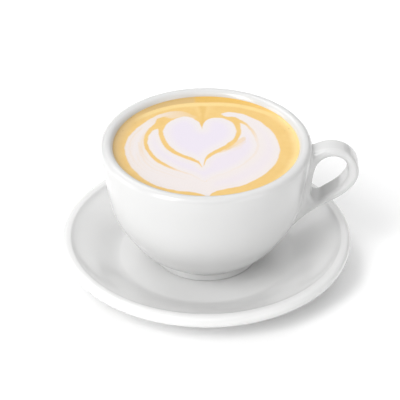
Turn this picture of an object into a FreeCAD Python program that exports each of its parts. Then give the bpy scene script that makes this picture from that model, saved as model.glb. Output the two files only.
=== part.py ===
# Latte in a thick porcelain cup on its saucer.  All lengths in mm, +Z up,
# table plane at z = 0, the cup and saucer share the Z axis, handle towards +X.
import FreeCAD
import Part
import os
import math
from FreeCAD import Vector as V

os.makedirs("parts", exist_ok=True)

# ---- sizes --------------------------------------------------------------
WELL_Z = 6.0          # saucer well, where the cup stands
CUP_TOP = 70.7        # highest line of the lip
RIM_Z = 67.6          # widest line of the lip
RIM_R = 51.0          # outer radius of the lip
LIP_IN_R = 44.9       # inner radius of the lip
LEVEL_Z = 67.5        # level of the drink
FOOT_R = 25.6         # outer radius of the cup's foot ring
FOOT_TOP = 9.7        # where the bowl meets the foot ring
FOOT_IN_R = 21.0      # inside of the foot ring
FLOOR_Z = 12.2        # inside bottom of the cup

SAUCER_R = 71.3
SAUCER_RING_R = 46.0
SAUCER_RING_IN = 40.5

AX = V(0, 0, 1)
O = V(0, 0, 0)


def p(r, z):
    return V(r, 0, z)


def spline(points, t0=None, t1=None):
    c = Part.BSplineCurve()
    if t0 is not None:
        c.interpolate(Points=[p(*q) for q in points],
                      InitialTangent=p(*t0), FinalTangent=p(*t1))
    else:
        c.interpolate(Points=[p(*q) for q in points])
    return c.toShape()


def line(a, b):
    return Part.LineSegment(p(*a), p(*b)).toShape()


def ellipse_arc(cx, cz, a, b, t0, t1):
    """Arc of an upright ellipse in the XZ plane, angles in degrees."""
    n = 9
    pts = []
    for i in range(n):
        t = math.radians(t0 + (t1 - t0) * i / (n - 1.0))
        pts.append((cx + a * math.cos(t), cz + b * math.sin(t)))
    s = 1.0 if t1 > t0 else -1.0
    d0 = (-s * a * math.sin(math.radians(t0)), s * b * math.cos(math.radians(t0)))
    d1 = (-s * a * math.sin(math.radians(t1)), s * b * math.cos(math.radians(t1)))
    return spline(pts, d0, d1)


def revolve(edges):
    w = Part.Wire(Part.__sortEdges__(edges))
    f = Part.Face(w)
    s = f.revolve(O, AX, 360)
    if s.Volume < 0:
        s.reverse()
    s.rotate(O, AX, 180)          # keep the seam away from the handle
    return s


# ---- cup bowl -------------------------------------------------------------
LIP_C = 0.5 * (RIM_R + LIP_IN_R)
LIP_A = 0.5 * (RIM_R - LIP_IN_R)
LIP_B = CUP_TOP - RIM_Z

OUTER = [(24.95, 10.3), (26.2, 10.95), (29.1, 12.65), (34.9, 17.6),
         (39.22, 23.6), (43.57, 30.6), (46.59, 38.6), (48.24, 47.6),
         (49.89, 57.6), (RIM_R, RIM_Z)]
INNER = [(14.0, FLOOR_Z), (24.0, 14.0), (31.5, 19.0), (37.2, 26.6),
         (40.9, 35.0), (43.0, 44.0), (44.4, 54.0), (LIP_IN_R, RIM_Z)]


def cup_outer():
    e = [line((0, WELL_Z + 2.6), (FOOT_IN_R - 1.0, WELL_Z + 2.6)),
         line((FOOT_IN_R - 1.0, WELL_Z + 2.6), (FOOT_IN_R, WELL_Z + 0.8)),
         line((FOOT_IN_R, WELL_Z + 0.8), (FOOT_IN_R + 0.8, WELL_Z)),
         line((FOOT_IN_R + 0.8, WELL_Z), (FOOT_R - 0.9, WELL_Z)),
         ellipse_arc(FOOT_R - 0.9, WELL_Z + 0.9, 0.9, 0.9, -90, 0),
         line((FOOT_R, WELL_Z + 0.9), (FOOT_R - 0.2, FOOT_TOP - 0.3)),
         line((FOOT_R - 0.2, FOOT_TOP - 0.3), (24.75, FOOT_TOP)),
         line((24.75, FOOT_TOP), (24.95, 10.3)),
         spline(OUTER, (1.0, 0.35), (0.0, 1.0)),
         ellipse_arc(LIP_C, RIM_Z, LIP_A, LIP_B, 0, 90),
         line((LIP_C, CUP_TOP), (0, CUP_TOP)),
         line((0, CUP_TOP), (0, WELL_Z + 2.6))]
    return revolve(e)


def cavity(top):
    """The inside of the cup, from its floor to the lip's crown and on up."""
    e = [line((0, FLOOR_Z), (14.0, FLOOR_Z)),
         spline(INNER, (1.0, 0.0), (0.0, 1.0)),
         ellipse_arc(LIP_C, RIM_Z, LIP_A, LIP_B, 180, 90),
         line((LIP_C, CUP_TOP), (LIP_C, top)),
         line((LIP_C, top), (0, top)),
         line((0, top), (0, FLOOR_Z))]
    return revolve(e)


# ---- handle: an ear-shaped loop closed along the wall of the cup ------------
EAR_OUT = [(45.0, 62.5), (51.0, 66.0), (55.6, 68.2), (60.2, 69.0),
           (64.6, 68.3), (68.6, 66.2), (71.6, 62.9), (73.4, 58.7),
           (73.7, 54.4), (72.4, 50.2), (69.6, 46.4), (65.7, 42.9),
           (61.1, 40.0), (55.8, 37.0), (50.6, 33.4), (46.0, 29.6),
           (41.8, 26.0), (37.0, 21.8)]
EAR_HOLE = [(51.0, 50.2), (52.0, 56.4), (54.5, 61.2), (58.2, 64.0),
            (62.0, 64.6), (65.6, 63.3), (67.9, 60.2), (68.5, 56.2),
            (67.4, 52.0), (64.9, 48.2), (61.3, 44.9), (57.2, 42.0),
            (53.6, 40.3), (51.4, 41.4), (50.6, 45.0)]
EAR_W = 14.0          # widest, at the lower end
EAR_TAPER = 3.0       # narrower by this much at the top
EAR_ROUND = 1.55


def ear():
    c = Part.BSplineCurve()
    c.interpolate(Points=[p(*q) for q in EAR_OUT])
    back = Part.LineSegment(p(*EAR_OUT[-1]), p(*EAR_OUT[0])).toShape()
    f_out = Part.Face(Part.Wire([c.toShape(), back]))
    h = Part.BSplineCurve()
    h.interpolate(Points=[p(*q) for q in EAR_HOLE], PeriodicFlag=True)
    f_in = Part.Face(Part.Wire([h.toShape()]))
    f_out.translate(V(0, -EAR_W, 0))
    f_in.translate(V(0, -EAR_W, 0))
    body = f_out.extrude(V(0, 2 * EAR_W, 0))
    hole = f_in.extrude(V(0, 2 * EAR_W, 0))
    body = body.cut(hole)
    # side planes, closer together towards the top
    z0, z1 = 20.0, 75.0
    k = EAR_TAPER / 2.0 / 35.0
    y0 = EAR_W / 2.0 + k * (34.0 - z0)
    y1 = EAR_W / 2.0 - k * (z1 - 34.0)
    w = Part.makePolygon([V(40, -y0, z0), V(40, y0, z0), V(40, y1, z1),
                          V(40, -y1, z1), V(40, -y0, z0)])
    wedge = Part.Face(w).extrude(V(40, 0, 0))
    return body.common(wedge)


def round_edges(s, radius):
    """Round the long edges where the loop's sides meet its other faces."""
    es = []
    for e in s.Edges:
        b = e.BoundBox
        if e.Length > 20.0 and not (b.XMax < 45.5 and b.YMax > 0 > b.YMin):
            if abs(b.YMax) > 3.0 and b.YMax * b.YMin > 0:
                if b.XMax > 46.0:
                    es.append(e)
    return s.makeFillet(radius, es)


def bowl_radius(z):
    for (r0, z0), (r1, z1) in zip(OUTER, OUTER[1:]):
        if z0 <= z <= z1:
            return r0 + (r1 - r0) * (z - z0) / (z1 - z0)
    return RIM_R


def junction_edges(s):
    """Edges along which the handle meets the outside of the bowl."""
    out = []
    for e in s.Edges:
        ok = e.Length > 0.3
        for t in (0.0, 0.25, 0.5, 0.75, 1.0):
            u = e.FirstParameter + t * (e.LastParameter - e.FirstParameter)
            q = e.valueAt(u)
            r = math.hypot(q.x, q.y)
            if q.x < 30 or abs(q.y) > 9 or abs(r - bowl_radius(q.z)) > 0.45:
                ok = False
        if ok:
            out.append(e)
    return out


def cup():
    outer = cup_outer()
    hollow = cavity(80.0)
    ring = round_edges(ear(), EAR_ROUND)
    whole = outer.fuse(ring)
    try:
        js = [e for e in junction_edges(whole) if e.BoundBox.ZMax > 26.5]
        best = None
        for rad in (3.4, 3.0, 2.6, 2.2, 1.8, 1.2):
            try:
                t = whole.makeFillet(rad, js)
                if t.isValid() and len(t.Solids) == 1 and t.Volume > whole.Volume:
                    best = t
                    print("junction fillet", rad, "edges", len(js))
                    break
            except Exception as err:
                print("fillet", rad, err)
        if best is not None:
            whole = best
    except Exception as err:
        print("no junction fillet:", err)
    s = whole.cut(hollow)
    return s


def drink():
    level = Part.makeCylinder(60.0, LEVEL_Z - 5.0, V(0, 0, 5.0))
    return cavity(80.0).common(level)


# ---- saucer -----------------------------------------------------------------
def saucer():
    c_e = (SAUCER_R - 2.8, 14.2)
    e = [line((0, WELL_Z), (42.0, WELL_Z)),
         spline([(42.0, WELL_Z), (44.6, 6.45), (47.5, 7.55), (57.0, 12.05),
                 (65.0, 15.75), (66.3, 16.6)], (1, 0), (0.7, 0.72)),
         spline([(66.3, 16.6), (67.3, 16.93), (c_e[0], 17.0)], (0.9, 0.42), (1, 0.0)),
         ellipse_arc(c_e[0], c_e[1], 2.8, 2.8, 90, 0),
         ellipse_arc(c_e[0], c_e[1], 2.8, 3.4, 0, -64),
         ]
    t = math.radians(-64)
    under = (c_e[0] + 2.8 * math.cos(t), c_e[1] + 3.4 * math.sin(t))
    e += [line(under, (47.6, 1.5)),
          line((47.6, 1.5), (SAUCER_RING_R + 0.3, 0.6)),
          line((SAUCER_RING_R + 0.3, 0.6), (SAUCER_RING_R - 0.5, 0)),
          line((SAUCER_RING_R - 0.5, 0), (SAUCER_RING_IN + 0.8, 0)),
          line((SAUCER_RING_IN + 0.8, 0), (SAUCER_RING_IN, 0.8)),
          line((SAUCER_RING_IN, 0.8), (SAUCER_RING_IN - 0.8, 1.8)),
          line((SAUCER_RING_IN - 0.8, 1.8), (0, 1.8)),
          line((0, 1.8), (0, WELL_Z))]
    return revolve(e)


PARTS = {"saucer": saucer, "cup": cup, "latte": drink}
for name in PARTS:
    s = PARTS[name]()
    if s.ShapeType == "Compound" and len(s.Solids) == 1:
        s = s.Solids[0]
    b = s.BoundBox
    print(name, s.ShapeType, "valid", s.isValid(), "solids", len(s.Solids),
          "faces", len(s.Faces), "vol cm3 %.1f" % (s.Volume / 1000.0),
          "x %.2f..%.2f y %.2f..%.2f z %.2f..%.2f" % (b.XMin, b.XMax, b.YMin, b.YMax, b.ZMin, b.ZMax))
    s.exportStep("parts/%s.step" % name)
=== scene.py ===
"""A latte in a thick porcelain cup with a loop handle, on its saucer.

Lengths in the helpers are in millimetres, in the row's frame; meshes are
written in metres.
"""
import bpy
import math

import numpy as np
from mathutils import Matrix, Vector


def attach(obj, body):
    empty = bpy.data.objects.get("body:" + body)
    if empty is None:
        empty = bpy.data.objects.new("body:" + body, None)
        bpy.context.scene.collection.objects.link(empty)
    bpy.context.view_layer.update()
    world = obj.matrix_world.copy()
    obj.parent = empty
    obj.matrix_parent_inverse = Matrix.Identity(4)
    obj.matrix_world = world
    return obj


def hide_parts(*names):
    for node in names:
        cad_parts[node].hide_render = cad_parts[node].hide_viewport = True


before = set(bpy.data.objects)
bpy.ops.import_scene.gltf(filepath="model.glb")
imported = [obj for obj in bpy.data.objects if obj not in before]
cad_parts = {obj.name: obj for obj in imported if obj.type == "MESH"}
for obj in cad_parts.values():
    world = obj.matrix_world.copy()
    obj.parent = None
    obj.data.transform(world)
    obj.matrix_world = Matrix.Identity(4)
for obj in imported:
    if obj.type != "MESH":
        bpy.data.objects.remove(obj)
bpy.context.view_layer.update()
MM = 0.001

# ---------------------------------------------------------------- sizes (mm)
WELL_Z = 6.0
CUP_TOP = 70.7
RIM_Z = 67.6
RIM_R = 51.0
LIP_IN_R = 44.9
LEVEL_Z = 67.5
FOOT_R = 25.6
FOOT_TOP = 9.7
FOOT_IN_R = 21.0
FLOOR_Z = 12.2
SAUCER_R = 71.3
RING_R = 46.0
RING_IN = 40.5

LIP_C = 0.5 * (RIM_R + LIP_IN_R)
LIP_A = 0.5 * (RIM_R - LIP_IN_R)
LIP_B = CUP_TOP - RIM_Z

OUTER = [(24.95, 10.3), (26.2, 10.95), (29.1, 12.65), (34.9, 17.6),
         (39.22, 23.6), (43.57, 30.6), (46.59, 38.6), (48.24, 47.6),
         (49.89, 57.6), (RIM_R, RIM_Z)]
INNER = [(14.0, FLOOR_Z), (24.0, 14.0), (31.5, 19.0), (37.2, 26.6),
         (40.9, 35.0), (43.0, 44.0), (44.4, 54.0), (LIP_IN_R, RIM_Z)]
EAR_OUT = [(45.0, 62.5), (51.0, 66.0), (55.6, 68.2), (60.2, 69.0),
           (64.6, 68.3), (68.6, 66.2), (71.6, 62.9), (73.4, 58.7),
           (73.7, 54.4), (72.4, 50.2), (69.6, 46.4), (65.7, 42.9),
           (61.1, 40.0), (55.8, 37.0), (50.6, 33.4), (46.0, 29.6),
           (41.8, 26.0), (37.0, 21.8)]
EAR_HOLE = [(51.0, 50.2), (52.0, 56.4), (54.5, 61.2), (58.2, 64.0),
            (62.0, 64.6), (65.6, 63.3), (67.9, 60.2), (68.5, 56.2),
            (67.4, 52.0), (64.9, 48.2), (61.3, 44.9), (57.2, 42.0),
            (53.6, 40.3), (51.4, 41.4), (50.6, 45.0)]
EAR_W = 14.0
EAR_TAPER = 3.0
EAR_ROUND = 2.4


# ------------------------------------------------------------ curve helpers
def spline(pts, t0=None, t1=None, closed=False, step=0.4):
    """Cubic spline through pts with chord-length parameters, as points."""
    P = np.asarray(pts, float)
    if closed:
        P = np.vstack([P, P[:1]])
    h = np.maximum(np.hypot(*np.diff(P, axis=0).T), 1e-9)
    n = len(P)
    A = np.zeros((n, n))
    B = np.zeros((n, 2))
    for i in range(1, n - 1):
        A[i, i - 1] = h[i]
        A[i, i] = 2 * (h[i - 1] + h[i])
        A[i, i + 1] = h[i - 1]
        B[i] = 3 * (h[i] * (P[i] - P[i - 1]) / h[i - 1] + h[i - 1] * (P[i + 1] - P[i]) / h[i])
    if closed:
        A[0, 0] = 2 * (h[-1] + h[0])
        A[0, 1] = h[-1]
        A[0, n - 2] = h[0]
        B[0] = 3 * (h[0] * (P[0] - P[n - 2]) / h[-1] + h[-1] * (P[1] - P[0]) / h[0])
        A[n - 1, 0] = 1
        A[n - 1, n - 1] = -1
    else:
        if t0 is None:
            A[0, 0], A[0, 1] = 2, 1
            B[0] = 3 * (P[1] - P[0]) / h[0]
        else:
            A[0, 0] = 1
            B[0] = np.asarray(t0, float) / np.hypot(*t0)
        if t1 is None:
            A[-1, -1], A[-1, -2] = 2, 1
            B[-1] = 3 * (P[-1] - P[-2]) / h[-1]
        else:
            A[-1, -1] = 1
            B[-1] = np.asarray(t1, float) / np.hypot(*t1)
    M = np.linalg.solve(A, B)
    out = []
    for i in range(n - 1):
        k = max(2, int(math.ceil(h[i] / step)))
        u = (np.arange(k) / k)[:, None]
        h00 = 2 * u**3 - 3 * u**2 + 1
        h10 = u**3 - 2 * u**2 + u
        h01 = -2 * u**3 + 3 * u**2
        h11 = u**3 - u**2
        out.append(h00 * P[i] + h10 * h[i] * M[i] + h01 * P[i + 1] + h11 * h[i] * M[i + 1])
    out = np.vstack(out)
    return out if closed else np.vstack([out, P[-1:]])


def arc(cx, cz, a, b, d0, d1, n=24):
    t = np.radians(np.linspace(d0, d1, n + 1))
    return np.stack([cx + a * np.cos(t), cz + b * np.sin(t)], 1)


def seg(a, b, step=0.8):
    n = max(1, int(math.ceil(math.hypot(b[0] - a[0], b[1] - a[1]) / step)))
    u = np.linspace(0, 1, n + 1)[:, None]
    return np.asarray(a, float) * (1 - u) + np.asarray(b, float) * u


def chain(*parts):
    out = [np.asarray(parts[0], float)]
    for p in parts[1:]:
        p = np.asarray(p, float)
        if np.hypot(*(p[0] - out[-1][-1])) < 1e-6:
            p = p[1:]
        out.append(p)
    return np.vstack(out)


def seg_distance(Q, A, B, chunk=20000):
    """Distance of points Q to the nearest of the segments A-B, its index and parameter."""
    ab = B - A
    l2 = np.maximum((ab**2).sum(1), 1e-12)
    d = np.empty(len(Q))
    k = np.empty(len(Q), int)
    t = np.empty(len(Q))
    for s in range(0, len(Q), chunk):
        q = Q[s:s + chunk]
        px = q[:, None, 0] - A[None, :, 0]
        py = q[:, None, 1] - A[None, :, 1]
        u = np.clip((px * ab[:, 0] + py * ab[:, 1]) / l2, 0, 1)
        dd = (px - u * ab[:, 0])**2 + (py - u * ab[:, 1])**2
        i = dd.argmin(1)
        r = np.arange(len(q))
        d[s:s + chunk] = np.sqrt(dd[r, i])
        k[s:s + chunk] = i
        t[s:s + chunk] = u[r, i]
    return d, k, t


def inside(Q, P):
    """Even-odd test of points Q against the closed polygon P."""
    A, B = P, np.roll(P, -1, axis=0)
    n = np.zeros(len(Q), int)
    for a, b in zip(A, B):
        if a[1] == b[1]:
            continue
        m = (a[1] > Q[:, 1]) != (b[1] > Q[:, 1])
        x = a[0] + (Q[:, 1] - a[1]) * (b[0] - a[0]) / (b[1] - a[1])
        n += m & (Q[:, 0] < x)
    return (n % 2) == 1


def polygon_sdf(Q, P):
    """Signed distance to a closed polygon, negative inside."""
    d, _, _ = seg_distance(Q, P, np.roll(P, -1, axis=0))
    return np.where(inside(Q, P), -d, d)


class Table:
    """Signed distance to a polygon on a fine grid, read back bicubically."""

    def __init__(self, P, lo, hi, h=0.2):
        self.lo, self.h = np.asarray(lo, float), h
        self.n = [int((hi[i] - lo[i]) / h) + 2 for i in (0, 1)]
        g = np.stack(np.meshgrid(lo[0] + h * np.arange(self.n[0]),
                                 lo[1] + h * np.arange(self.n[1]), indexing="ij"), -1)
        self.f = polygon_sdf(g.reshape(-1, 2), P).reshape(self.n)

    def _uv(self, x, y):
        u = (x - self.lo[0]) / self.h
        v = (y - self.lo[1]) / self.h
        i = np.clip(np.floor(u).astype(int), 1, self.n[0] - 3)
        j = np.clip(np.floor(v).astype(int), 1, self.n[1] - 3)
        return np.clip(u - i, -1, 2), np.clip(v - j, -1, 2), i, j

    def linear(self, x, y):
        a, b, i, j = self._uv(x, y)
        f = self.f
        return ((f[i, j] * (1 - a) + f[i + 1, j] * a) * (1 - b)
                + (f[i, j + 1] * (1 - a) + f[i + 1, j + 1] * a) * b)

    def cubic(self, x, y):
        a, b, i, j = self._uv(x, y)

        def w(t):
            return (-0.5 * t + t * t - 0.5 * t**3, 1 - 2.5 * t * t + 1.5 * t**3,
                    0.5 * t + 2 * t * t - 1.5 * t**3, -0.5 * t * t + 0.5 * t**3)
        wa, wb = w(a), w(b)
        out = 0.0
        for m in range(4):
            row = 0.0
            for n in range(4):
                row = row + wb[n] * self.f[i + m - 1, j + n - 1]
            out = out + wa[m] * row
        return out


def smoothstep(a, b, x):
    t = np.clip((x - a) / (b - a), 0, 1)
    return t * t * (3 - 2 * t)


# -------------------------------------------------------------- mesh helpers
def new_object(name, verts, faces, normals=None):
    me = bpy.data.meshes.new(name)
    me.from_pydata((np.asarray(verts, float) * MM).tolist(), [], faces)
    me.validate()
    me.update()
    me.polygons.foreach_set("use_smooth", np.ones(len(me.polygons), bool))
    if normals is not None:
        me.normals_split_custom_set_from_vertices([tuple(n) for n in normals])
    ob = bpy.data.objects.new(name, me)
    bpy.context.scene.collection.objects.link(ob)
    return ob


def lathe(name, profile, n):
    """Revolves an open profile whose two ends lie on the axis."""
    P = np.asarray(profile, float)
    body = P[1:-1]
    th = np.arange(n) * 2 * math.pi / n
    V = np.stack([body[:, None, 0] * np.cos(th), body[:, None, 0] * np.sin(th),
                  np.repeat(body[:, 1:2], n, 1)], -1).reshape(-1, 3)
    m = len(body)
    V = np.vstack([V, [[0, 0, P[0, 1]], [0, 0, P[-1, 1]]]])
    F = []
    for i in range(m - 1):
        for j in range(n):
            k = (j + 1) % n
            F.append((i * n + j, i * n + k, (i + 1) * n + k, (i + 1) * n + j))
    for j in range(n):
        k = (j + 1) % n
        F.append((m * n, k, j))
        F.append((m * n + 1, (m - 1) * n + j, (m - 1) * n + k))
    return new_object(name, V, F)


def surface_net(F, X, Y, Z):
    """Quads round the zero level of F, given on the grid X by Y by Z."""
    inn = F < 0
    c = np.zeros([s - 1 for s in F.shape], int)
    for a in (0, 1):
        for b in (0, 1):
            for d in (0, 1):
                c += inn[a:a + c.shape[0], b:b + c.shape[1], d:d + c.shape[2]]
    ci = np.argwhere((c > 0) & (c < 8))
    idx = -np.ones(c.shape, int)
    idx[tuple(ci.T)] = np.arange(len(ci))
    off = np.array([(a, b, d) for a in (0, 1) for b in (0, 1) for d in (0, 1)])
    val = F[tuple((ci[:, None, :] + off[None]).reshape(-1, 3).T)].reshape(-1, 8)
    acc = np.zeros((len(ci), 3))
    cnt = np.zeros(len(ci))
    for p in range(8):
        for q in range(p + 1, 8):
            if np.abs(off[p] - off[q]).sum() != 1:
                continue
            m = (val[:, p] < 0) != (val[:, q] < 0)
            t = val[m, p] / (val[m, p] - val[m, q])
            acc[m] += off[p] + t[:, None] * (off[q] - off[p])
            cnt[m] += 1
    u = acc / cnt[:, None]
    V = np.stack([G[ci[:, k]] + u[:, k] * (G[ci[:, k] + 1] - G[ci[:, k]])
                  for k, G in enumerate((X, Y, Z))], 1)
    faces = []
    for ax in range(3):
        sl0 = [slice(None)] * 3
        sl1 = [slice(None)] * 3
        sl0[ax], sl1[ax] = slice(0, -1), slice(1, None)
        a, b = inn[tuple(sl0)], inn[tuple(sl1)]
        e = np.argwhere(a != b)
        o1, o2 = [(1, 2), (2, 0), (0, 1)][ax]
        ok = (e[:, o1] > 0) & (e[:, o2] > 0) & (e[:, o1] < c.shape[o1]) & (e[:, o2] < c.shape[o2])
        e = e[ok]

        def cell(d1, d2):
            g = e.copy()
            g[:, o1] -= d1
            g[:, o2] -= d2
            return idx[tuple(g.T)]
        q = np.stack([cell(1, 1), cell(0, 1), cell(0, 0), cell(1, 0)], 1)
        flip = ~a[tuple(e.T)]
        q[flip] = q[flip][:, ::-1]
        faces.append(q)
    return V, np.vstack(faces)


# ------------------------------------------------------------------- the cup
def outer_polygon():
    return chain(
        seg((-8, WELL_Z + 2.6), (FOOT_IN_R - 1.0, WELL_Z + 2.6)),
        seg((FOOT_IN_R - 1.0, WELL_Z + 2.6), (FOOT_IN_R, WELL_Z + 0.8)),
        seg((FOOT_IN_R, WELL_Z + 0.8), (FOOT_IN_R + 0.8, WELL_Z)),
        seg((FOOT_IN_R + 0.8, WELL_Z), (FOOT_R - 0.9, WELL_Z)),
        arc(FOOT_R - 0.9, WELL_Z + 0.9, 0.9, 0.9, -90, 0, 12),
        seg((FOOT_R, WELL_Z + 0.9), (FOOT_R - 0.2, FOOT_TOP - 0.3)),
        spline([(FOOT_R - 0.2, FOOT_TOP - 0.3), (24.55, FOOT_TOP + 0.1), (24.95, 10.3)],
               (-0.3, 1), (1, 0.5), step=0.1),
        spline(OUTER, (1.0, 0.35), (0.0, 1.0)),
        arc(LIP_C, RIM_Z, LIP_A, LIP_B, 0, 90, 40),
        seg((LIP_C, CUP_TOP), (-8, CUP_TOP)))


def cavity_polygon(top=90.0):
    return chain(
        seg((-8, FLOOR_Z), (14.0, FLOOR_Z)),
        spline(INNER, (1.0, 0.0), (0.0, 1.0)),
        arc(LIP_C, RIM_Z, LIP_A, LIP_B, 180, 90, 40),
        seg((LIP_C, CUP_TOP), (LIP_C, top)),
        seg((LIP_C, top), (-8, top)))


def ear_polygon():
    """Outline of the loop, and the outline of its hole as a separate closed curve."""
    return spline(EAR_OUT), spline(EAR_HOLE, closed=True)


def smin(a, b, k):
    h = np.maximum(k - np.abs(a - b), 0.0) / k
    return np.minimum(a, b) - h * h * h * k / 6.0


T_out = Table(outer_polygon(), (-2, 2), (60, 76), 0.2)
T_cav = Table(cavity_polygon(), (-2, 2), (60, 76), 0.2)
E_out, E_hole = ear_polygon()
T_ear = Table(E_out, (28, 14), (82, 78), 0.2)
T_hole = Table(E_hole, (28, 14), (82, 78), 0.2)


def cup_field(x, y, z, fine=True):
    g = (lambda T, a, b: T.cubic(a, b)) if fine else (lambda T, a, b: T.linear(a, b))
    r = np.hypot(x, y)
    d_out = g(T_out, r, z)
    d_cav = g(T_cav, r, z)
    xe = np.clip(x, 30, 80)
    d2 = np.maximum(g(T_ear, xe, z), -g(T_hole, xe, z))
    d2 = np.where(x < 30, 30.0, d2)
    half = EAR_W / 2.0 - EAR_TAPER / 2.0 / 35.0 * (z - 34.0)
    q = np.abs(y) - half
    a = d2 + EAR_ROUND
    b = q + EAR_ROUND
    d_ear = np.minimum(np.maximum(a, b), 0.0) + np.hypot(np.maximum(a, 0), np.maximum(b, 0)) - EAR_ROUND
    # wider blend low on the wall, tighter just under the lip
    k = 3.0 + 3.5 * smoothstep(66.0, 56.0, z)
    return np.maximum(smin(d_out, d_ear, k), -d_cav)


def graded(stops):
    """Grid lines: [(from, to, step), ...]"""
    out = [stops[0][0]]
    for a, b, h in stops:
        n = max(1, int(round((b - a) / h)))
        out += list(np.linspace(a, b, n + 1)[1:])
    return np.array(out)


def build_cup():
    X = graded([(-52.3, 34, 0.95), (34, 76, 0.6)])
    Y = graded([(-52.3, -10, 0.95), (-10, 10, 0.6), (10, 52.3, 0.95)])
    Z = graded([(5.0, 11.6, 0.33), (11.6, 64, 0.95), (64, 71.6, 0.4)])
    F = np.empty((len(X), len(Y), len(Z)))
    YY, ZZ = np.meshgrid(Y, Z, indexing="ij")
    for i, x in enumerate(X):
        F[i] = cup_field(np.full(YY.shape, x), YY, ZZ, fine=False)
    V, Q = surface_net(F, X, Y, Z)
    h = 0.12

    def grad(P):
        g = np.empty_like(P)
        for k in range(3):
            e = np.zeros(3)
            e[k] = h
            g[:, k] = (cup_field(*(P + e).T) - cup_field(*(P - e).T)) / (2 * h)
        return g
    for it in range(4):
        f = cup_field(*V.T)
        g = grad(V)
        n2 = np.maximum((g**2).sum(1), 0.05)
        step = (f / n2)[:, None] * g
        s = np.linalg.norm(step, axis=1, keepdims=True)
        V = V - step * np.minimum(1.0, 0.5 / np.maximum(s, 1e-9))
    N = grad(V)
    N /= np.maximum(np.linalg.norm(N, axis=1, keepdims=True), 1e-9)
    return new_object("cup_body", V, Q.tolist(), N)


# ---------------------------------------------------------------- the saucer
def saucer_profile():
    ce = (SAUCER_R - 2.8, 14.2)
    t = math.radians(-64)
    under = (ce[0] + 2.8 * math.cos(t), ce[1] + 3.4 * math.sin(t))
    return chain(
        [(0, 1.8)], seg((1.0, 1.8), (RING_IN - 0.8, 1.8), 2.0),
        seg((RING_IN - 0.8, 1.8), (RING_IN, 0.8), 0.4),
        spline([(RING_IN, 0.8), (RING_IN + 0.25, 0.25), (RING_IN + 0.8, 0)], (0.2, -1), (1, 0), step=0.2),
        seg((RING_IN + 0.8, 0), (RING_R - 0.5, 0), 0.8),
        spline([(RING_R - 0.5, 0), (RING_R + 0.1, 0.2), (RING_R + 0.3, 0.6), (47.6, 1.5)], (1, 0), (0.8, 0.45), step=0.2),
        seg((47.6, 1.5), under, 0.8),
        arc(ce[0], ce[1], 2.8, 3.4, -64, 0, 20),
        arc(ce[0], ce[1], 2.8, 2.8, 0, 90, 20),
        spline([(ce[0], 17.0), (67.3, 16.93), (66.3, 16.6)], (-1, 0), (-0.82, -0.56), step=0.15),
        spline([(66.3, 16.6), (65.0, 15.75), (57.0, 12.05), (47.5, 7.55), (44.6, 6.45), (42.0, WELL_Z)],
               (-0.82, -0.56), (-1, 0), step=0.4),
        seg((42.0, WELL_Z), (1.0, WELL_Z), 1.5), [(0, WELL_Z)])


saucer = lathe("saucer_body", saucer_profile(), 320)
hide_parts("saucer")
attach(saucer, "root")

cup = build_cup()
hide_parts("cup")
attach(cup, "root")


# ----------------------------------------------------------------- the drink
def drink_object():
    n_th = 720
    r_wall = LIP_IN_R + 0.04
    # radial rows, closer together at the meniscus
    rows = [0.0] + list(np.arange(0.4, 42.0, 0.42)) + list(np.arange(42.0, r_wall - 0.2, 0.2)) + [r_wall - 0.1, r_wall, r_wall + 0.12]
    rows = np.array(rows)
    lift = 0.75 * np.exp(-(r_wall - np.minimum(rows, r_wall)) / 0.7)
    z = LEVEL_Z - 0.05 + lift
    z[-1] = z[-2]
    th = np.arange(n_th) * 2 * math.pi / n_th
    ring = rows[1:]
    V = np.stack([ring[:, None] * np.cos(th), ring[:, None] * np.sin(th), np.repeat(z[1:, None], n_th, 1)], -1).reshape(-1, 3)
    # hidden side and bottom, just inside the wall of the cup
    side = spline(INNER, (1.0, 0.0), (0.0, 1.0), step=3.0)[::-1]
    side = side[side[:, 1] < 66.0] + np.array([0.15, -0.15])
    S = np.stack([side[:, None, 0] * np.cos(th), side[:, None, 0] * np.sin(th), np.repeat(side[:, 1:2], n_th, 1)], -1).reshape(-1, 3)
    m = len(ring)
    s = len(side)
    V = np.vstack([V, S, [[0, 0, z[0]], [0, 0, side[-1, 1]]]])
    j = np.arange(n_th)
    k = (j + 1) % n_th
    F = []
    for i in range(m + s - 1):
        F.append(np.stack([(i + 1) * n_th + j, (i + 1) * n_th + k, i * n_th + k, i * n_th + j], 1))
    F = [list(q) for q in np.vstack(F)]
    top, bot = (m + s) * n_th, (m + s) * n_th + 1
    F += [(top, a, b) for a, b in zip(j, k)]
    F += [(bot, (m + s - 1) * n_th + b, (m + s - 1) * n_th + a) for a, b in zip(j, k)]
    ob = new_object("latte_drink", V, F)
    return ob, V


drink, DV = drink_object()
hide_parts("latte")
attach(drink, "root")


# ------------------------------------------------------ pattern in the foam
# Free-hand strokes of milk foam, each one a short list of control points in
# millimetres on the drink's surface (x to the handle, y away from the front).
PATTERN_Y = 1.18
HEART_L = [(-1.9, 14.7), (-3.0, 19.2), (-5.6, 23.8), (-10.0, 26.2), (-14.3, 24.8), (-18.4, 20.6),
           (-20.5, 15.4), (-20.7, 10.2), (-19.6, 5.1), (-17.6, 0.0), (-14.8, -4.2), (-11.1, -7.7),
           (-7.4, -10.1), (-4.8, -12.1), (-3.0, -14.9), (-1.6, -20.5)]
HEART_R = [(-1.6, -20.5), (-1.0, -14.4), (-0.5, -10.9), (0.9, -7.8), (2.9, -5.2), (5.8, -2.5),
           (8.8, 0.2), (11.4, 3.2), (13.4, 6.7), (14.5, 10.2), (14.7, 13.7), (13.9, 17.5),
           (12.2, 21.2), (9.2, 24.0), (5.4, 25.2), (1.9, 24.5), (-0.2, 22.2), (-1.3, 19.2), (-1.9, 14.7)]
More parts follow.
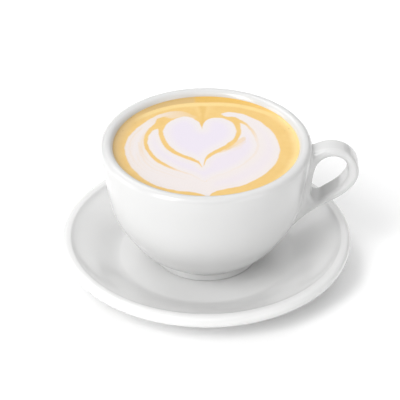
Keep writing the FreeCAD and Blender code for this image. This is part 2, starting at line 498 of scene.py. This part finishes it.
BAND_L = [(-23.4, 13.9), (-23.1, 9.9), (-22.2, 5.3), (-20.7, 0.5), (-18.6, -3.7), (-15.7, -7.0),
          (-12.0, -10.1), (-8.3, -12.6), (-5.4, -14.4), (-3.4, -16.6), (-2.2, -19.0)]
BAND_R = [(-0.7, -17.0), (-0.2, -14.1), (0.5, -12.1), (2.0, -10.0), (4.2, -7.6), (6.7, -5.6),
          (9.3, -2.9), (12.3, 0.0), (14.5, 3.4), (15.8, 6.5), (16.8, 9.5), (17.1, 12.6), (16.9, 15.8)]
LEAF_L = [(-23.5, 15.2), (-24.5, 14.6), (-25.7, 13.2), (-27.3, 10.2), (-28.1, 6.1), (-28.1, 1.3),
          (-27.0, -3.5), (-25.1, -8.1), (-22.5, -12.3), (-19.2, -16.1), (-15.5, -19.5), (-11.8, -22.1),
          (-8.2, -24.4), (-4.9, -26.8), (-2.0, -30.2)]
LEAF_R = [(16.6, 20.4), (18.7, 18.9), (20.7, 15.8), (22.3, 11.6), (23.5, 7.5), (24.3, 3.4),
          (24.5, 0.0), (24.0, -3.4), (22.7, -7.6), (20.7, -11.4), (18.2, -15.1), (15.3, -18.4),
          (12.3, -21.2), (8.8, -24.0), (5.1, -26.0), (2.2, -28.2), (-0.6, -31.4)]
WING_L = [(-24.0, 24.3), (-24.9, 20.6), (-26.9, 16.8), (-28.9, 13.0), (-30.0, 8.2), (-30.2, 2.7),
          (-29.3, -3.1), (-27.4, -8.1), (-25.1, -12.6), (-21.7, -16.3), (-17.8, -19.7), (-14.1, -21.9),
          (-10.5, -24.0), (-6.8, -26.1), (-3.9, -28.5), (-1.5, -31.2)]
WING_R = [(16.5, 23.6), (18.6, 21.6), (20.3, 19.2), (22.5, 15.1), (24.1, 10.2), (25.0, 5.4),
          (25.3, 1.3), (24.9, -3.4), (23.5, -7.8), (21.4, -11.7), (18.8, -15.4), (15.8, -18.8),
          (12.7, -21.6), (9.2, -24.4), (5.5, -26.5), (2.7, -28.7), (0.0, -31.4)]
EDGE_L = [(-5.5, 25.8), (-8.8, 29.6), (-12.6, 31.3), (-16.4, 31.0), (-20.1, 29.8), (-24.2, 27.2),
          (-28.3, 23.0), (-31.9, 18.0), (-35.5, 12.3), (-37.8, 6.8), (-39.0, 1.3), (-39.0, -4.1),
          (-38.2, -10.1), (-36.6, -16.1), (-34.3, -21.4), (-31.5, -26.0), (-28.3, -30.3),
          (-24.6, -33.9), (-20.5, -36.3), (-15.8, -38.3), (-11.1, -39.5), (-6.8, -40.2),
          (-3.2, -41.2), (-0.8, -42.8), (0.1, -44.6)]
EDGE_R = [(1.0, -44.6), (1.9, -42.5), (3.4, -40.4), (5.6, -38.9), (8.6, -37.7), (11.9, -36.6),
          (16.3, -34.7), (20.7, -31.8), (24.7, -27.9), (28.2, -24.1), (31.0, -19.5), (33.3, -14.8),
          (34.7, -9.5), (35.4, -4.1), (34.9, 1.7), (33.7, 7.5), (31.8, 12.6), (29.3, 17.1),
          (26.4, 21.3), (22.7, 24.8), (18.6, 28.0), (14.5, 29.8), (10.7, 30.1), (7.2, 28.7)]
TIP_R = [(7.2, 28.7), (8.6, 27.0), (11.0, 26.2), (14.1, 25.9), (16.5, 23.6)]
TAN_IN = [(-24.0, 24.3), (-19.7, 26.4), (-16.0, 27.6), (-12.2, 28.0), (-8.5, 27.3), (-5.5, 25.8)]
WHITE_WING = [(-23.9, 23.9), (-27.8, 18.0), (-31.1, 12.8), (-33.6, 7.5), (-35.2, 2.0), (-35.7, -4.1),
              (-34.9, -10.1), (-33.0, -13.0), (-32.2, -8.0), (-32.6, -1.5), (-32.3, 4.0), (-30.9, 9.8),
              (-28.4, 15.4), (-25.8, 20.0)]
VEIL = [(-21.0, 27.0), (-16.0, 29.6), (-11.5, 30.0), (-8.0, 28.2), (-5.0, 25.4), (-7.5, 23.8), (-12.5, 25.6), (-17.0, 24.6)]
STREAKS = [  # (points, width, strength at the start, at the end)
    ([(-31.0, 16.2), (-34.7, 9.5), (-36.6, 3.4), (-36.9, -2.7), (-36.0, -8.1), (-34.2, -14.1), (-31.2, -19.5), (-27.6, -24.0)], 0.75, 0.30, 0.05),
    ([(-32.6, 3.0), (-31.9, -4.1), (-30.5, -10.1), (-28.0, -16.1), (-24.7, -20.3), (-19.5, -23.9), (-14.1, -27.4), (-9.7, -29.3)], 0.80, 0.30, 0.10),
    ([(-31.4, -1.0), (-30.2, -7.4), (-28.0, -12.6), (-24.6, -17.2), (-19.6, -21.4), (-13.4, -25.4), (-7.4, -28.6)], 0.55, 0.22, 0.08),
    ([(-33.6, -6.0), (-32.3, -12.0), (-29.8, -17.6), (-26.0, -22.0), (-20.6, -26.0), (-14.6, -29.2)], 0.55, 0.16, 0.04),
    ([(18.4, 7.0), (16.6, 4.3), (14.2, 2.0), (11.4, -0.9), (8.6, -3.6)], 2.70, 0.50, 0.66),
    ([(18.9, 3.4), (15.8, 0.9), (12.4, -1.6), (9.2, -4.2), (6.4, -6.2)], 1.80, 0.22, 0.52),
    ([(17.0, 0.2), (14.4, -2.4), (11.6, -4.6)], 2.60, 0.13, 0.05),
]


def blob(*strokes):
    """Closed outline from strokes laid end to end."""
    return np.vstack([spline(s, step=0.5) for s in strokes])


def stroke(Q, pts, width, s0, s1):
    """Soft line through pts, as strength at each point."""
    P = spline(pts, step=0.5)
    d, k, t = seg_distance(Q, P[:-1], P[1:])
    u = (k + t) / (len(P) - 1.0)
    taper = np.clip(np.minimum((u + 0.02) * 9, (1.02 - u) * 5), 0, 1)
    w = 0.5 * width * (0.45 + 0.55 * taper)
    return (s0 + (s1 - s0) * u) * smoothstep(w + 0.45, w - 0.35, d) * smoothstep(0, 0.25, taper)


def value_noise(x, y, scale, seed):
    """Smooth repeatable noise in -1..1."""
    rng = np.random.RandomState(seed)
    G = rng.uniform(-1, 1, (64, 64))
    u, v = x / scale + 1000.0, y / scale + 1000.0
    i, j = np.floor(u).astype(int), np.floor(v).astype(int)
    a, b = smoothstep(0, 1, u - i), smoothstep(0, 1, v - j)
    g = lambda p, q: G[p % 64, q % 64]
    return ((g(i, j) * (1 - a) + g(i + 1, j) * a) * (1 - b)
            + (g(i, j + 1) * (1 - a) + g(i + 1, j + 1) * a) * b)


def foam_fields(x, y):
    """How much milk, how deep the golden colour (with painted shade and painted highlight by the far wall), and how
    much painted shadow by the left wall, at each point of the surface.
    """
    y = y - PATTERN_Y
    # the foam's edges wander a little
    wx = x + 0.22 * value_noise(x, y, 2.6, 1) + 0.10 * value_noise(x, y, 0.9, 2)
    wy = y + 0.22 * value_noise(x, y, 2.6, 3) + 0.10 * value_noise(x, y, 0.9, 4)
    Q = np.stack([wx, wy], 1)
    soft = 0.32

    def cover(P, s=soft):
        return smoothstep(s, -s, polygon_sdf(Q, P))
    heart = cover(blob(HEART_L, HEART_R))
    leaf = cover(blob(BAND_L, BAND_R, LEAF_R, LEAF_L[::-1]))
    wing = cover(blob(EDGE_L, EDGE_R, TIP_R, WING_R, WING_L[::-1], TAN_IN))
    # how white each one is
    up = smoothstep(13.0, 24.0, y) * smoothstep(1.0, -6.0, x)
    wing_w = 0.94 - up * (0.12 + 0.68 * smoothstep(-31.0, -5.0, x)) - 0.06 * smoothstep(-26.0, -36.0, x)
    ww = smoothstep(0.9, -0.6, polygon_sdf(Q, spline(WHITE_WING, closed=True)))
    wing_w = np.maximum(wing_w, 0.95 * ww)
    blur_band = smoothstep(1.6, -0.4, np.abs(np.hypot((x + 6.0) / 1.0, (y - 1.0) * 0.92) - 25.2)) * smoothstep(-18, -26, x) * smoothstep(-14, 0, y) * smoothstep(17, 8, y)
    wing_w = wing_w - 0.34 * blur_band
    milk = np.maximum(np.maximum(heart * 1.0, leaf * 0.97), wing * wing_w)
    veil = smoothstep(1.0, -1.0, polygon_sdf(Q, spline(VEIL, closed=True)))
    milk = np.maximum(milk, veil * (0.16 + 0.20 * smoothstep(-6.0, -15.0, x)))
    # the thin lines between leaf and wing fade towards the point
    gap_r = 0.80 * smoothstep(23.5, 2.0, y) ** 0.8 * smoothstep(8.0, 14.0, np.hypot(x, y - 6.0)) * (x > 0.5)
    gap_r = gap_r + 0.10 * smoothstep(-14.0, -26.0, y) * (x > 0.5)
    near_r = smoothstep(2.2, 0.6, seg_distance(Q, *_ends(WING_R))[0])
    milk = np.maximum(milk, np.minimum(gap_r, 0.90) * near_r)
    gap_l = 0.84 * smoothstep(-12.0, -29.0, y) * smoothstep(-25.0, -9.0, x)
    near_l = smoothstep(2.4, 0.8, seg_distance(Q, *_ends(WING_L))[0])
    milk = np.maximum(milk, gap_l * near_l)
    for pts, width, s0, s1 in STREAKS:
        milk = milk - stroke(Q, pts, width, s0, s1) * (milk > 0.0) * np.clip(milk, 0, 1)
    milk = np.clip(milk, 0, 1)
    core = np.maximum(smoothstep(0.3, 6.5, -polygon_sdf(Q, blob(HEART_L, HEART_R))),
                      0.85 * smoothstep(0.4, 5.0, -polygon_sdf(Q, blob(BAND_L, BAND_R, LEAF_R, LEAF_L[::-1]))))
    core = np.maximum(core, 0.55 * smoothstep(1.0, 6.0, -polygon_sdf(Q, blob(EDGE_R, TIP_R, WING_R))))
    # golden depth: the wedge above the heart, with paler feathers beside it
    off = np.abs(x + 1.6)
    wedge_w = 0.35 + 1.5 * smoothstep(26.0, 36.5, y) + 0.5 * smoothstep(24.0, 17.0, y)
    high = smoothstep(38.0, 35.0, y)
    wedge = smoothstep(wedge_w + 1.3, wedge_w - 0.9, off) * smoothstep(14.0, 19.0, y) * high
    side = smoothstep(wedge_w + 3.4, wedge_w + 0.6, off) * smoothstep(23.0, 29.0, y) * high
    deep = 0.55 * wedge - 0.30 * side * (1 - wedge)
    # crema: a darker band of painted shade along the far wall, and a paler band of painted highlight on the meniscus
    # before it
    r = np.hypot(x, y + PATTERN_Y)
    rim = np.sqrt(np.maximum((LIP_IN_R + 0.1)**2 - x * x, 0.0)) - (y + PATTERN_Y)
    far = smoothstep(6.0, 24.0, y) * smoothstep(42.0, 26.0, np.abs(x))
    near_rim = 4.6 - 0.045 * np.abs(x) - 0.05 * np.maximum(x, 0.0)
    far_wall_shade = far * smoothstep(near_rim + 0.5, near_rim - 0.5, rim)
    meniscus_highlight = far * smoothstep(near_rim + 4.2, near_rim + 2.4, rim) * (1 - far_wall_shade)
    left = smoothstep(-4.6, -6.4, x)
    right = smoothstep(6.0, 30.0, x)
    # painted light: paler crema along the right-hand wall, on the lit side
    right_wall_light = smoothstep(40.2, 43.8, r) * smoothstep(22.0, 32.0, x) * smoothstep(-34.0, -14.0, y) * smoothstep(30.0, 22.0, y)
    deep = deep * (1 - far_wall_shade) * (1 - meniscus_highlight) + far_wall_shade * (1.0 - 0.35 * right - 0.4 * left) - 0.95 * np.maximum(meniscus_highlight, right_wall_light * (1 - far_wall_shade))
    deep = deep + (0.18 * value_noise(x, y, 7.0, 7) + 0.10 * value_noise(x, y, 2.2, 8)) * (1 - 0.6 * far_wall_shade)
    # and a brown painted shadow of the left-hand wall along it
    turn = np.degrees(np.arctan2(y, -x))
    wall_shadow = smoothstep(37.0, 45.0, r) * np.exp(-((turn - 12.0) / 36.0)**2) * (x < 0)
    wall_shadow = wall_shadow + 0.55 * smoothstep(42.6, 45.0, r) * smoothstep(-4.0, -26.0, x) * (1 - wall_shadow)
    wall_shadow = np.maximum(wall_shadow, 0.85 * far_wall_shade * left)
    return milk, np.clip(deep, -1, 1), core, wall_shadow


def _ends(pts):
    P = spline(pts, step=0.5)
    return P[:-1], P[1:]


top = DV[:, 2] > LEVEL_Z - 0.2
milk_v = np.zeros(len(DV))
deep_v = np.zeros(len(DV))
core_v = np.zeros(len(DV))
wall_shadow_v = np.zeros(len(DV))
milk_v[top], deep_v[top], core_v[top], wall_shadow_v[top] = foam_fields(DV[top, 0], DV[top, 1])
for nm, arr in (("milk", milk_v), ("deep", deep_v), ("core", core_v), ("wall_shadow", wall_shadow_v)):
    at = drink.data.attributes.new(nm, "FLOAT", "POINT")
    at.data.foreach_set("value", arr.astype(np.float32))


# ---------------------------------------------------------------- materials
CREMA = (0.723, 0.481, 0.163)
CREMA_PALE = (0.769, 0.577, 0.247)
CREMA_DEEP = (0.650, 0.403, 0.092)
# brown of the painted shadow along the left-hand wall
CREMA_SHADOW = (0.494, 0.357, 0.192)
MILK_EDGE = (0.709, 0.665, 0.667)
MILK_CORE = (0.682, 0.631, 0.709)


def material(name):
    m = bpy.data.materials.new(name)
    m.use_nodes = True
    nt = m.node_tree
    for n in list(nt.nodes):
        nt.nodes.remove(n)
    out = nt.nodes.new("ShaderNodeOutputMaterial")
    b = nt.nodes.new("ShaderNodeBsdfPrincipled")
    nt.links.new(b.outputs[0], out.inputs[0])
    return m, nt, b, out


def porcelain(name, color, rough=0.16):
    m, nt, b, out = material(name)
    L = nt.links
    tc = nt.nodes.new("ShaderNodeTexCoord")
    n1 = nt.nodes.new("ShaderNodeTexNoise")
    n1.inputs["Scale"].default_value = 60.0
    n1.inputs["Detail"].default_value = 3.0
    L.new(tc.outputs["Object"], n1.inputs["Vector"])
    ramp = nt.nodes.new("ShaderNodeMix")
    ramp.data_type = "RGBA"
    ramp.inputs["A"].default_value = (*[c * 0.988 for c in color], 1)
    ramp.inputs["B"].default_value = (*color, 1)
    L.new(n1.outputs["Fac"], ramp.inputs["Factor"])
    L.new(ramp.outputs["Result"], b.inputs["Base Color"])
    n2 = nt.nodes.new("ShaderNodeTexNoise")
    n2.inputs["Scale"].default_value = 260.0
    n2.inputs["Detail"].default_value = 2.0
    L.new(tc.outputs["Object"], n2.inputs["Vector"])
    mr = nt.nodes.new("ShaderNodeMapRange")
    mr.inputs["To Min"].default_value = rough * 0.85
    mr.inputs["To Max"].default_value = rough * 1.15
    L.new(n2.outputs["Fac"], mr.inputs["Value"])
    L.new(mr.outputs["Result"], b.inputs["Roughness"])
    bump = nt.nodes.new("ShaderNodeBump")
    bump.inputs["Strength"].default_value = 0.05
    bump.inputs["Distance"].default_value = 0.0004
    L.new(n1.outputs["Fac"], bump.inputs["Height"])
    L.new(bump.outputs["Normal"], b.inputs["Normal"])
    b.inputs["IOR"].default_value = 1.5
    b.inputs["Coat Weight"].default_value = 0.0
    return m


# the cup's glaze is set a darker grey than the saucer's to darken the cup where it takes too much light: painted shade
for o, nm, shade in ((cup, "cup_glaze", 0.615), (saucer, "saucer_glaze", 0.722)):
    o.data.materials.clear()
    o.data.materials.append(porcelain(nm, (shade, shade, shade * 0.995)))

dm, nt, b, out = material("coffee_foam")
L = nt.links


def node(kind, **inputs):
    n = nt.nodes.new(kind)
    for k, v in inputs.items():
        n.inputs[k.replace("_", " ")].default_value = v
    return n


def attr(name):
    n = nt.nodes.new("ShaderNodeAttribute")
    n.attribute_name = name
    return n.outputs["Fac"]


def ramp(fac, stops):
    n = nt.nodes.new("ShaderNodeValToRGB")
    e = n.color_ramp.elements
    e[0].position, e[0].color = stops[0][0], (*stops[0][1], 1)
    e[1].position, e[1].color = stops[-1][0], (*stops[-1][1], 1)
    for pos, col in stops[1:-1]:
        k = e.new(pos)
        k.color = (*col, 1)
    L.new(fac, n.inputs["Fac"])
    return n.outputs["Color"]


def math_(op, a, c=None, clamp=False):
    n = nt.nodes.new("ShaderNodeMath")
    n.operation = op
    n.use_clamp = clamp
    for i, v in enumerate((a, c)):
        if v is None:
            continue
        if isinstance(v, (int, float)):
            n.inputs[i].default_value = v
        else:
            L.new(v, n.inputs[i])
    return n.outputs[0]


def mix(fac, a, c, blend="MIX"):
    n = nt.nodes.new("ShaderNodeMix")
    n.data_type = "RGBA"
    n.blend_type = blend
    for key, v in (("Factor", fac), ("A", a), ("B", c)):
        if isinstance(v, (int, float)):
            n.inputs[key].default_value = v
        elif isinstance(v, tuple):
            n.inputs[key].default_value = (*v, 1)
        else:
            L.new(v, n.inputs[key])
    return n.outputs["Result"]


tc = nt.nodes.new("ShaderNodeTexCoord")
grain = node("ShaderNodeTexNoise", Scale=2400.0, Detail=3.0, Roughness=0.6)
L.new(tc.outputs["Object"], grain.inputs["Vector"])
mott = node("ShaderNodeTexNoise", Scale=420.0, Detail=4.0, Roughness=0.55)
L.new(tc.outputs["Object"], mott.inputs["Vector"])
# the golden depth also carries the painted shade and painted highlight by the far wall
deep = math_("MULTIPLY_ADD", attr("deep"), 0.5)
deep.node.inputs[2].default_value = 0.5
deep = math_("ADD", deep, math_("MULTIPLY", math_("SUBTRACT", mott.outputs["Fac"], 0.5), 0.25), True)
crema = ramp(deep, [(0.0, CREMA_PALE), (0.5, CREMA), (1.0, CREMA_DEEP)])
milk_f = math_("ADD", attr("milk"), math_("MULTIPLY", math_("SUBTRACT", mott.outputs["Fac"], 0.5), 0.05), True)
white = mix(attr("core"), MILK_EDGE, MILK_CORE)
tint = ramp(milk_f, [(0.0, (0, 0, 0)), (0.35, (0.42, 0.42, 0.42)), (0.7, (0.76, 0.76, 0.76)), (1.0, (1, 1, 1))])
col = mix(tint, crema, white)
# painted shadow of the left-hand wall, mixed in brown
col = mix(math_("MULTIPLY", attr("wall_shadow"), 0.62), col, CREMA_SHADOW)
# fine bubbles, a few of them dark, mostly near the wall
vor = node("ShaderNodeTexVoronoi", Scale=520.0)
L.new(tc.outputs["Object"], vor.inputs["Vector"])
sepc = nt.nodes.new("ShaderNodeSeparateColor")
L.new(vor.outputs["Color"], sepc.inputs[0])
few = math_("GREATER_THAN", sepc.outputs[0], 0.88)
spot = math_("LESS_THAN", vor.outputs["Distance"], 0.2)
spots = math_("MULTIPLY", few, spot)
xyz = nt.nodes.new("ShaderNodeSeparateXYZ")
L.new(tc.outputs["Object"], xyz.inputs[0])
rr = math_("SQRT", math_("ADD", math_("MULTIPLY", xyz.outputs[0], xyz.outputs[0]), math_("MULTIPLY", xyz.outputs[1], xyz.outputs[1])))
nearwall = nt.nodes.new("ShaderNodeMapRange")
nearwall.inputs["From Min"].default_value = 0.0375
nearwall.inputs["From Max"].default_value = 0.0445
L.new(rr, nearwall.inputs["Value"])
spots = math_("MULTIPLY", spots, nearwall.outputs["Result"])
col = mix(math_("MULTIPLY", spots, 0.55), col, (0.42, 0.27, 0.10))
shade = nt.nodes.new("ShaderNodeMapRange")
shade.inputs["To Min"].default_value = 0.91
shade.inputs["To Max"].default_value = 1.09
L.new(grain.outputs["Fac"], shade.inputs["Value"])
comb = nt.nodes.new("ShaderNodeCombineColor")
for i in range(3):
    L.new(shade.outputs["Result"], comb.inputs[i])
col = mix(1.0, col, comb.outputs[0], "MULTIPLY")
L.new(col, b.inputs["Base Color"])
b.inputs["Roughness"].default_value = 0.38
b.inputs["Specular IOR Level"].default_value = 0.35
bump = nt.nodes.new("ShaderNodeBump")
bump.inputs["Strength"].default_value = 0.25
bump.inputs["Distance"].default_value = 0.00012
hgt = math_("ADD", math_("MULTIPLY", grain.outputs["Fac"], 0.5), math_("MULTIPLY", vor.outputs["Distance"], 0.35))
L.new(hgt, bump.inputs["Height"])
L.new(bump.outputs["Normal"], b.inputs["Normal"])
drink.data.materials.clear()
drink.data.materials.append(dm)

# ------------------------------------------------------------ floor and light
me = bpy.data.meshes.new("floor")
me.from_pydata([(-3, -3, 0), (3, -3, 0), (3, 3, 0), (-3, 3, 0)], [], [(0, 1, 2, 3)])
floor = bpy.data.objects.new("floor", me)
bpy.context.scene.collection.objects.link(floor)
fm, nt, b, out = material("floor_white")
b.inputs["Base Color"].default_value = (0.95, 0.95, 0.95, 1)
b.inputs["Roughness"].default_value = 0.9
b.inputs["Specular IOR Level"].default_value = 0.1
floor.data.materials.append(fm)

world = bpy.data.worlds.new("World")
bpy.context.scene.world = world
world.use_nodes = True
bg = world.node_tree.nodes.get("Background") or world.node_tree.nodes.new("ShaderNodeBackground")
bg.inputs["Color"].default_value = (1, 1, 1, 1)
bg.inputs["Strength"].default_value = 0.02


def soft_sun(name, azimuth, elevation, energy, angle=34.0):
    """A wide soft light from a direction: azimuth from +X towards +Y, in degrees."""
    d = bpy.data.lights.new(name, "SUN")
    d.energy = energy
    d.angle = math.radians(angle)
    o = bpy.data.objects.new(name, d)
    bpy.context.scene.collection.objects.link(o)
    a, e = math.radians(azimuth), math.radians(elevation)
    way = Vector((math.cos(e) * math.cos(a), math.cos(e) * math.sin(a), math.sin(e)))
    o.rotation_euler = way.to_track_quat("Z", "Y").to_euler()
    return o


for name, azimuth, elevation, energy, angle in (
        ("front_left", 225, 50, 0.95, 24), ("low_left", 225, 30, 1.00, 24), ("lowest_left", 225, 12, 0.60, 24),
        ("back", 90, 45, 0.97, 75), ("above", 90, 75, 0.30, 75), ("right", 0, 45, 0.70, 75),
        ("back_left", 135, 50, 0.62, 34), ("front", 270, 50, 0.49, 34), ("side_left", 180, 12, 0.80, 34),
        ("low_right", 315, 12, 0.66, 34)):
    soft_sun(name, azimuth, elevation, energy, angle)

# ---------------------------------------------------------------- the camera
cam_d = bpy.data.cameras.new("camera")
cam_d.lens = 234.0
cam_d.sensor_width = 36.0
cam_d.clip_end = 20.0
cam = bpy.data.objects.new("camera", cam_d)
bpy.context.scene.collection.objects.link(cam)
EL = math.radians(34.07)
D = 1.2697
TX, TZ = -0.00297, 0.03659
cam.location = (TX, -D * math.cos(EL), TZ + D * math.sin(EL))
cam.rotation_euler = (math.pi / 2 - EL, 0, 0)
bpy.context.scene.camera = cam

vs = bpy.context.scene.view_settings
vs.view_transform = "Standard"
vs.look = "None"
vs.exposure = 0.0
vs.gamma = 1.0
